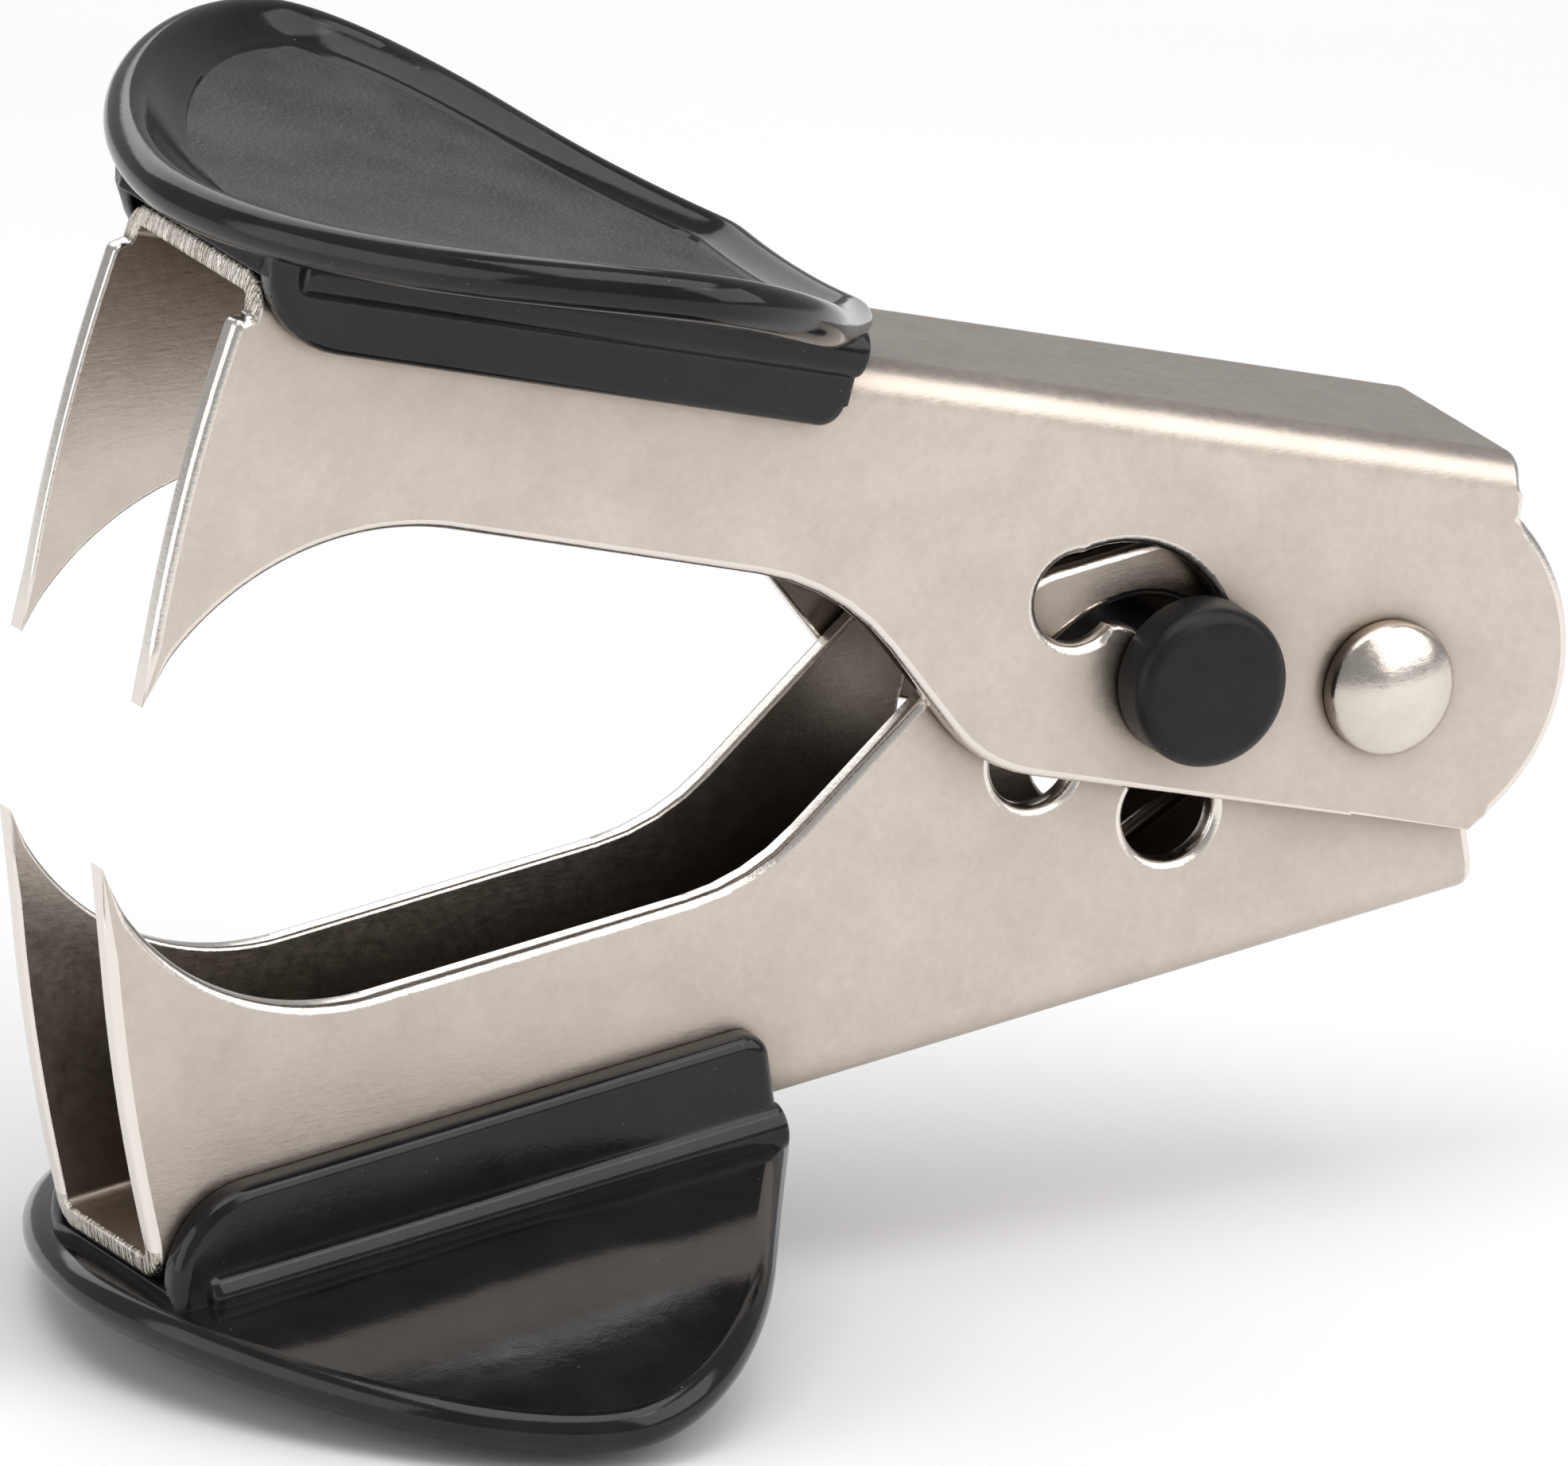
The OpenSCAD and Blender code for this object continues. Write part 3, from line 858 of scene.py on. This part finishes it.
def thumb_pad(bm, top, tail_x, tail_half):
    """A hollowed pad with a rolled rim, a border falling inwards and a sunk, grained panel."""
    outline = pad_outline(tail_x, tail_half)
    count = len(outline)
    normal = inward(outline)
    normal /= np.linalg.norm(normal, axis=1)[:, None]
    centre = np.array([PAD_X, 0.0])
    tail = np.clip((outline[:, 0] - PAD_X - 7) / 4, 0, 1)
    slim = (1 - TAIL_SLIM * tail * tail * (3 - 2 * tail))[:, None]

    def lifted(plan, height):
        tilt = np.stack([np.zeros(len(plan)), -plan[:, 1] / DISH_R, np.ones(len(plan))], 1)
        tilt /= np.linalg.norm(tilt, axis=1)[:, None]
        dish = top + PAD_RISE + plan[:, 1] ** 2 / (2 * DISH_R)
        return np.stack([plan[:, 0], plan[:, 1], dish], 1) + tilt * height

    rings = []
    for k in range(RIM_STEPS + 1):
        a = math.radians(RIM_FROM + RIM_SWEEP * k / RIM_STEPS)
        inset, height = RIM_R - RIM_R * math.cos(a), RIM_R * math.sin(a)
        rings.append(lifted(outline + normal * inset * slim, height * slim))
    rim_edge, rim_height = outline + normal * inset * slim, height * slim
    reach = outline - centre
    share = np.where(reach[:, :1] > 0, PANEL_REAR, PANEL_FRONT)
    panel = centre + reach * np.concatenate([share, np.full_like(share, PANEL_ACROSS)], 1)
    panel[:, 0] = np.minimum(panel[:, 0], tail_x - 2.2)
    for k in range(1, BORDER_STEPS + 1):
        s = k / BORDER_STEPS
        height = BORDER_FOOT + (rim_height - BORDER_FOOT) * (1 - s) ** BORDER_FALL
        rings.append(lifted(rim_edge + (panel - rim_edge) * s, height))
    bottom = BORDER_FOOT - PANEL_SINK
    panel_start = len(rings) + len(INNER_RINGS)
    sunk = centre + (panel - centre) * PANEL_WALL
    rings.append(lifted(sunk, bottom))
    for u in INNER_RINGS:
        rings.append(lifted(centre + (sunk - centre) * u, bottom))
    base_ring = outline + normal * RIM_R * slim
    under = [lifted(centre + (base_ring - centre) * u, -RIM_R * slim) for u in INNER_RINGS[::-1]]
    made = [[bm.verts.new(p) for p in ring] for ring in under + rings]
    for k, (a, b) in enumerate(zip(made, made[1:])):
        for i in range(count):
            j = (i + 1) % count
            face = bm.faces.new((a[i], a[j], b[j], b[i]))
            face.material_index = 1 if k >= panel_start else 0
    for ring, height, index in ((made[0], -RIM_R, 0), (made[-1], bottom, 1)):
        hub = bm.verts.new(lifted(centre[None], height)[0])
        for i in range(count):
            j = (i + 1) % count
            face = bm.faces.new((ring[i], ring[j], hub))
            face.material_index = index


def plate_y(centre_y, thick, outside):
    """Carries (x, z) plans to a plate standing along Y whose rounded face looks along outside."""
    def place(plan, depth):
        depth = np.broadcast_to(depth, len(plan))
        y = centre_y + outside * (thick / 2 - depth)
        return np.stack([plan[:, 0], y, plan[:, 1]], 1)
    return place


def level(top):
    """Carries (x, y) plans to a level plate below top."""
    def place(plan, depth):
        depth = np.broadcast_to(depth, len(plan))
        return np.stack([plan[:, 0], plan[:, 1], top - depth], 1)
    return place


def grip(name, width, top, drop, shift, matrix):
    """One moulding: a thumb pad on a channel whose skirts and beads clasp the spine."""
    front, rear = SKIRT_FRONT, SKIRT_FRONT + SKIRT_LENGTH
    outer = width / 2 + SKIRT_T
    plastics = [glossy_black, grained_black]
    parts = []

    def part(build):
        bm = bmesh.new()
        build(bm)
        own = name + str(len(parts))
        parts.append(finish_mesh(own, bm, Matrix.Identity(4), plastics, weighted=False))

    def cap(bm):
        plan = rounded([
            (front, -outer, 1.0), (rear, -outer, 0.8), (rear, outer, 0.8), (front, outer, 1.0),
        ])
        rolled_solid(bm, [plan], CAP_T, 0.4, 0.05, level(top + CAP_LIFT))

    def skirt(bm):
        plan = rounded([
            (front, top + 1.5, 0),
            (front, top - drop, 3.8),
            (rear, top - drop, 1.0),
            (rear, top + 1.5, 0),
        ])
        upright = plate_y(side * (outer - SKIRT_T / 2), SKIRT_T, side)
        rolled_solid(bm, [plan], SKIRT_T, 0.55, 0.12, upright)

    def bead(bm):
        ends = (
            (0, 0.55), (0.15, 0.85), (0.5, 1),
            (BEAD_LENGTH - 0.3, 1), (BEAD_LENGTH - 0.08, 0.93), (BEAD_LENGTH, 0.8),
        )
        rings = []
        for x, s in ends:
            ring = []
            for k in range(BEAD_SIDES):
                a = 2 * math.pi * k / BEAD_SIDES
                y = side * (outer - BEAD_IN + BEAD_OUT * s * math.cos(a))
                z = top + BEAD_LIFT + BEAD_UP * s * math.sin(a)
                ring.append(bm.verts.new((front + BEAD_FRONT + x, y, z)))
            rings.append(ring)
        tube(bm, rings)

    part(lambda bm: thumb_pad(bm, top, rear + TAIL_OUT, outer))
    part(cap)
    for side in (-1, 1):
        part(skirt)
        part(bead)
    obj = united(name, parts, plastics)
    obj.data.transform(matrix @ Matrix.Translation((shift, 0, 0)))
    obj.data.shade_smooth()
    obj.data.set_sharp_from_angle(angle=math.radians(GRIP_SHARP))
    mod = obj.modifiers.new("even_shading", "WEIGHTED_NORMAL")
    mod.keep_sharp = True
    return obj


upper_grip = grip("upper_grip_moulding", UPPER_W, UPPER_TOP, 2.5, 0.4, IN_UPPER)
lower_grip = grip("lower_grip_moulding", LOWER_W, LOWER_TOP, 3.4, -0.5, IN_LOWER_FLIPPED)
for piece, body in ((upper_grip, "upper"), (lower_grip, "lower")):
    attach(piece, body + "_jaw")
    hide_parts(body + "_grip")

# ---------- rivet and lock button ----------

PLATE_Y = UPPER_W / 2
DOME_R = 2.6
DOME_RIM = 0.7
DOME_H = 0.9
HEAD_R = 3.15
HEAD_H = 2.2
HEAD_EDGE = 0.7
HEAD_GAP = 0.1
SHAFT_R = 1.5
SPIGOT_R = 1.0
SPIGOT_L = 1.0
TURNED_SHARP = 40


def arc_profile(centre_r, centre_h, radius, start, end, steps=8):
    out = []
    for k in range(steps + 1):
        a = math.radians(start + (end - start) * k / steps)
        out.append((centre_r + radius * math.cos(a), centre_h + radius * math.sin(a)))
    return out


def facing(side, x, z):
    """Stands a turned piece on the side plate at (x, z), its height running outwards."""
    turn = Matrix.Rotation(-side * math.pi / 2, 4, "X")
    return IN_UPPER @ Matrix.Translation((x, 0, z)) @ turn


def rivet():
    """A shank through all plates, with a rim and a dome at each end."""
    ball = (DOME_R ** 2 + DOME_H ** 2) / (2 * DOME_H)
    low = math.degrees(math.asin((ball - DOME_H) / ball))
    top = PLATE_Y + DOME_RIM
    dome = arc_profile(0, top + DOME_H - ball, ball, low + 2, 90, 14)
    dome[-1] = (0, dome[-1][1])
    half = [
        (SHANK_R, PLATE_Y - 0.02),
        (DOME_R - 0.12, PLATE_Y - 0.02),
        (DOME_R, PLATE_Y + 0.1),
        (DOME_R, top - 0.15),
        (DOME_R - 0.03, top - 0.04),
        *dome,
    ]
    bm = bmesh.new()
    lathe(bm, [(r, -h) for r, h in half[::-1]] + half)
    return finish_mesh("pivot_rivet_turned", bm, facing(-1, 0, 0), [dome_steel])


def button(name, side, with_shaft):
    """A head of the lock, with the shaft and its spigot or with the spigot's socket."""
    foot = PLATE_Y + HEAD_GAP
    top = foot + HEAD_H
    if with_shaft:
        inner = [
            (0, -foot - SPIGOT_L),
            (SPIGOT_R - 0.1, -foot - SPIGOT_L),
            (SPIGOT_R, -foot - SPIGOT_L + 0.1),
            (SPIGOT_R, -foot),
            (SHAFT_R, -foot),
            (SHAFT_R, foot),
        ]
    else:
        inner = [(0, foot + SPIGOT_L), (SPIGOT_R, foot + SPIGOT_L), (SPIGOT_R, foot)]
    wall = [(HEAD_R - 0.18, foot), (HEAD_R, foot + 0.18)]
    face = arc_profile(HEAD_R - HEAD_EDGE, top - HEAD_EDGE, HEAD_EDGE, 0, 90)
    crown = [(HEAD_R - 1.5, top - 0.02), (1.0, top - 0.06), (0, top - 0.07)]
    bm = bmesh.new()
    lathe(bm, inner + wall + face + crown)
    return finish_mesh(name, bm, facing(side, pin_home.x, pin_home.z), [satin_black])


for piece, node, body, slot in (
    (rivet(), "pivot_rivet", "upper_jaw", "rivet_steel"),
    (button("lock_button", -1, True), "lock_pin", "lock_slider", "lock_plastic"),
    (button("lock_button_cap", 1, False), "lock_cap", "lock_slider", "lock_plastic"),
):
    piece.data.set_sharp_from_angle(angle=math.radians(TURNED_SHARP))
    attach(piece, body)
    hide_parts(node)

# ---------- spring ----------

WIRE_R = 0.45
COIL_R = 2.6
COIL_TURNS = 4
COIL_PITCH = 1.02
LEG_X = -13.0
LEG_GAP = 0.03
WIRE_SIDES = 16
WIRE_SHARP = 50


def spring():
    """A wire of constant thickness: a leg, the coils along Y, and the other leg."""
    upper_end = turned(LEG_X, UPPER_TOP - SHEET - WIRE_R - LEG_GAP, UPPER_TURN)
    lower_end = turned(LEG_X, -(LOWER_TOP - SHEET - WIRE_R - LEG_GAP), LOWER_TURN)

    def leave(p, side):
        return math.atan2(p[1], p[0]) - side * math.acos(COIL_R / np.linalg.norm(p))

    start = leave(upper_end, 1)
    sweep = start - leave(lower_end, -1) + 2 * math.pi * COIL_TURNS
    length = COIL_PITCH * sweep / (2 * math.pi)
    count = int(sweep / ARC_STEP)
    path = [(upper_end[0], -length / 2, upper_end[1])]
    for i in range(count + 1):
        a = start - sweep * i / count
        path.append((COIL_R * math.cos(a), length * (i / count - 0.5), COIL_R * math.sin(a)))
    path.append((lower_end[0], length / 2, lower_end[1]))
    bm = bmesh.new()
    rings = []
    across = Vector((0, 1, 0))
    for i, p in enumerate(path):
        p = Vector(p)
        before, after = Vector(path[max(i - 1, 0)]), Vector(path[min(i + 1, len(path) - 1)])
        tangent = (after - before).normalized()
        side = (across - tangent * across.dot(tangent)).normalized()
        third = tangent.cross(side)
        rings.append([
            bm.verts.new(p + WIRE_R * (math.cos(t) * side + math.sin(t) * third))
            for t in (2 * math.pi * k / WIRE_SIDES for k in range(WIRE_SIDES))
        ])
    tube(bm, rings)
    matrix = Matrix.Translation(PIVOT) @ Matrix.Scale(MM, 4)
    obj = finish_mesh("torsion_spring_wire", bm, matrix, [wire_steel], weighted=False)
    obj.data.set_sharp_from_angle(angle=math.radians(WIRE_SHARP))
    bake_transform(obj)
    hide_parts("torsion_spring")


spring()

# ---------- studio ----------

VIEW_AZIMUTH = math.radians(-25.9)
VIEW_ELEVATION = math.radians(17.7)
VIEW_WIDTH = 59.13
AIM_RIGHT = -20.1
AIM_UP = -3.372
LENS = 1500
SENSOR = 36
LIT_POINT = Vector((0, 0, 0.025))
# name, azimuth, elevation, distance, size, power, colour
LIGHTS = (
    ("key_light", 38, 33, 0.45, (0.5, 0.4), 1.25, (1.0, 0.975, 0.95)),
    ("top_light", -20, 78, 0.5, (0.5, 0.4), 1.5, (1, 1, 1)),
    ("left_light", -95, 16, 0.5, (0.5, 0.4), 0.9, (1, 1, 1)),
    ("rim_light", 175, 35, 0.55, (0.4, 0.3), 0.6, (1, 1, 1)),
)
SKY_COLOUR = (0.97, 0.98, 1.0, 1)
SKY_LIGHT = 0.38
SKY_SEEN = 0.93
FLOOR_HALF = 3.0
FLOOR_Z = -0.0002


def towards(azimuth, elevation):
    """The direction from the object to something at this azimuth and elevation, in radians."""
    return Vector((
        math.sin(azimuth) * math.cos(elevation),
        -math.cos(azimuth) * math.cos(elevation),
        math.sin(elevation),
    ))


def camera():
    back = towards(VIEW_AZIMUTH, VIEW_ELEVATION)
    right = Vector((math.cos(VIEW_AZIMUTH), math.sin(VIEW_AZIMUTH), 0))
    up = back.cross(right)
    aim = PIVOT + (right * AIM_RIGHT + up * AIM_UP) * MM
    data = bpy.data.cameras.new("camera")
    data.lens = LENS
    data.sensor_width = SENSOR
    cam = bpy.data.objects.new("camera", data)
    distance = VIEW_WIDTH * MM * LENS / SENSOR
    cam.location = aim + back * distance
    cam.rotation_euler = (-back).to_track_quat("-Z", "Y").to_euler()
    data.clip_start, data.clip_end = 0.01, 20
    bpy.context.scene.collection.objects.link(cam)
    bpy.context.scene.camera = cam


def softbox(name, azimuth, elevation, distance, size, power, colour):
    back = towards(math.radians(azimuth), math.radians(elevation))
    data = bpy.data.lights.new(name, "AREA")
    data.shape = "RECTANGLE"
    data.size, data.size_y = size
    data.energy = power
    data.color = colour
    lamp = bpy.data.objects.new(name, data)
    lamp.location = LIT_POINT + back * distance
    lamp.rotation_euler = (-back).to_track_quat("-Z", "Y").to_euler()
    lamp.visible_camera = False
    bpy.context.scene.collection.objects.link(lamp)


def studio():
    """Four soft boxes and a pale surround that looks brighter than it lights."""
    for light in LIGHTS:
        softbox(*light)
    world = bpy.data.worlds.new("studio")
    world.use_nodes = True
    bpy.context.scene.world = world
    sky = world.node_tree.nodes["Background"]
    sky.inputs["Color"].default_value = SKY_COLOUR
    strength = world.node_tree.nodes.new("ShaderNodeMath")
    strength.operation = "MULTIPLY_ADD"
    seen = world.node_tree.nodes.new("ShaderNodeLightPath").outputs["Is Camera Ray"]
    world.node_tree.links.new(seen, strength.inputs[0])
    strength.inputs[1].default_value = SKY_SEEN - SKY_LIGHT
    strength.inputs[2].default_value = SKY_LIGHT
    world.node_tree.links.new(strength.outputs[0], sky.inputs["Strength"])
    bpy.context.scene.view_settings.view_transform = "Standard"


def floor():
    look = Look("pale_floor")
    tone = look.ramp(look.noise(0.02, 2), [(0.3, (0.86, 0.86, 0.86)), (0.7, (0.9, 0.9, 0.9))])
    look.link(tone, look.shader.inputs["Base Color"])
    look.set(Roughness=0.9)
    bm = bmesh.new()
    bmesh.ops.create_grid(bm, x_segments=2, y_segments=2, size=FLOOR_HALF)
    down = Matrix.Translation((0, 0, FLOOR_Z))
    finish_mesh("floor", bm, down, [look.material], weighted=False)


camera()
studio()
floor()
